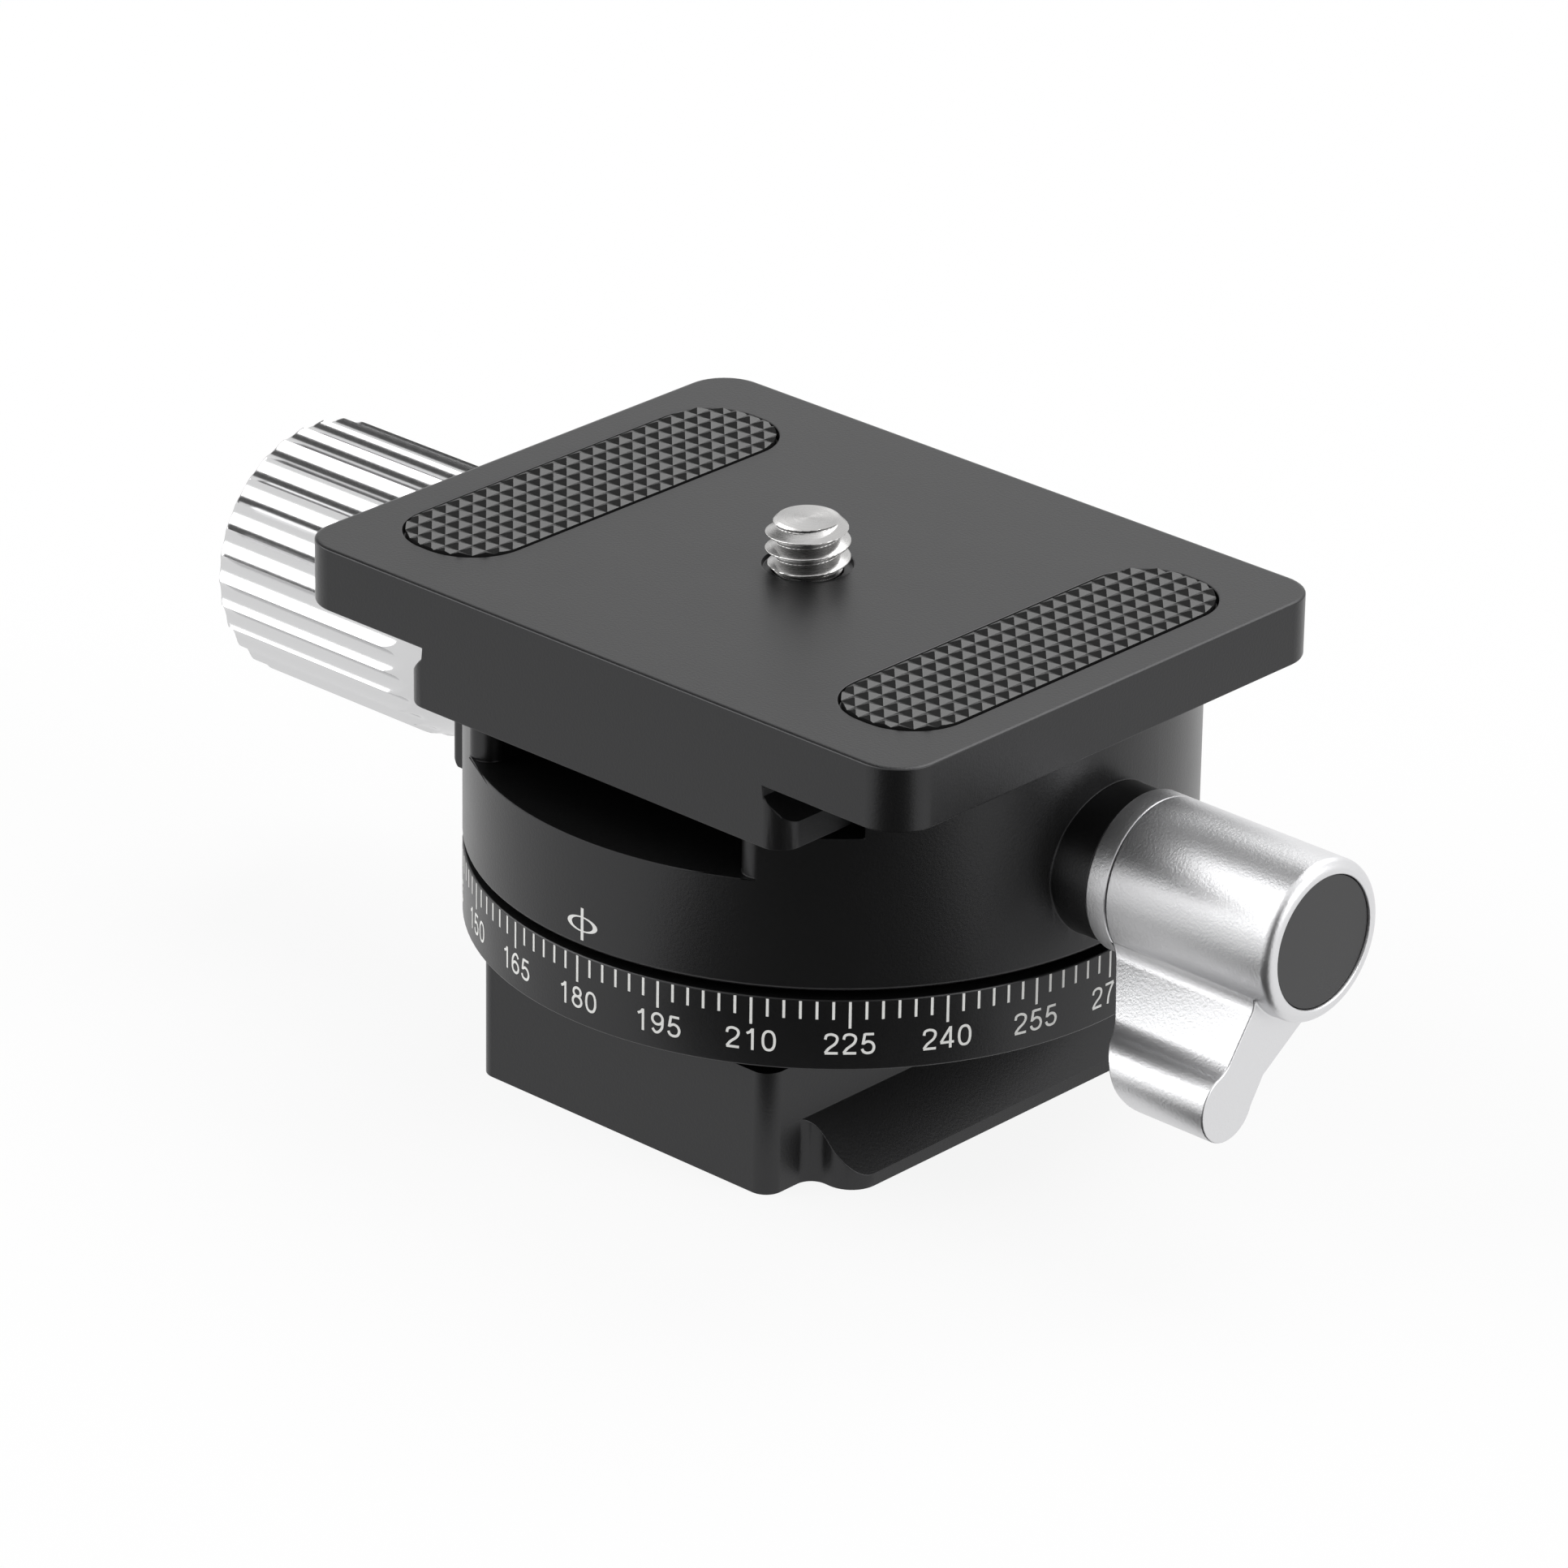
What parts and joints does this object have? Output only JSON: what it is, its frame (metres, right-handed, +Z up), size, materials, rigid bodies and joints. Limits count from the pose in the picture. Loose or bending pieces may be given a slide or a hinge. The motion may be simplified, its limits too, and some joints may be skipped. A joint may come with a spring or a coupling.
{
  "type": "panoramic base",
  "caption": "Panning tripod base with a graduated ring, a knurled clamp knob, a lock lever and a quick-release camera plate.",
  "frame": {"origin": "centre of the foot's underside, on the pan axis, where the tripod thread opens", "axes": "+Z up along the pan axis, +X along the plate's long edge towards the lock lever, +Y along the dovetail away from the index mark's side"},
  "size_m": [0.1032, 0.055, 0.0436],
  "materials": {
    "black_anodised": "black anodised, fine blasted satin",
    "silver_satin": "blasted satin",
    "silver_polished": "bright turned",
    "steel": "turned",
    "brass": "machined",
    "nylon": "matt",
    "black_disc": "semi-gloss",
    "rubber": "matt with a pyramid grain"
  },
  "bodies": {
    "base": {"foot": "black_anodised", "tripod_bush": "steel", "foot_screws": "steel", "graduated_ring": "black_anodised", "spindle": "steel", "brake_drum": "brass", "drum_screw": "steel"},
    "turntable": {"turntable": "black_anodised", "retaining_ring": "silver_satin", "retaining_screws": "steel", "slip_washer_lower": "nylon", "slip_washer_upper": "nylon", "guide_pins": "steel", "jaw_springs": "steel"},
    "jaw": {"movable_jaw": "black_anodised"},
    "knob": {"knob_washer": "nylon", "knob": "silver_polished", "knob_cap": "black_disc", "clamp_screw": "steel"},
    "brake_shoe": {"brake_shoe": "brass"},
    "lock_lever": {"lock_screw": "steel", "lever_collar": "silver_satin", "lever": "silver_satin", "lever_screw": "steel", "lever_cap": "black_disc"},
    "plate": {"plate": "black_anodised", "pad_left": "rubber", "pad_right": "rubber"},
    "camera_screw": {"camera_screw": "steel"}
  },
  "joints": [
    {"name": "pan", "type": "hinge", "parent": "base", "child": "turntable", "pos_m": [0, 0, 0.02], "axis": [0, 0, 1], "continuous": true},
    {"name": "jaw_slide", "type": "slide", "parent": "turntable", "child": "jaw", "axis": [-1, 0, 0], "range_m": [0, 0.0035], "deforming": ["jaw_springs"]},
    {"name": "knob_turn", "type": "hinge", "parent": "jaw", "child": "knob", "pos_m": [-0.04, 0, 0.0239], "axis": [-1, 0, 0], "range_deg": [0, 1260]},
    {"name": "shoe_slide", "type": "slide", "parent": "turntable", "child": "brake_shoe", "axis": [1, 0, 0], "range_m": [0, 0.00025]},
    {"name": "lever_turn", "type": "hinge", "parent": "brake_shoe", "child": "lock_lever", "pos_m": [0.04, 0, 0.02415], "axis": [1, 0, 0], "range_deg": [0, 90]},
    {"name": "plate_slide", "type": "slide", "parent": "turntable", "child": "plate", "axis": [0, 1, 0], "range_m": [-0.012, 0.018]},
    {"name": "camera_screw_turn", "type": "hinge", "parent": "plate", "child": "camera_screw", "pos_m": [0, -0.003, 0.04], "axis": [0, 0, 1], "continuous": true}
  ],
  "couplings": [
    {"joint": "knob_turn", "follows": "jaw_slide", "rad_per_m": 6283.2},
    {"joint": "shoe_slide", "follows": "lever_turn", "m_per_rad": 0.00015915}
  ]
}
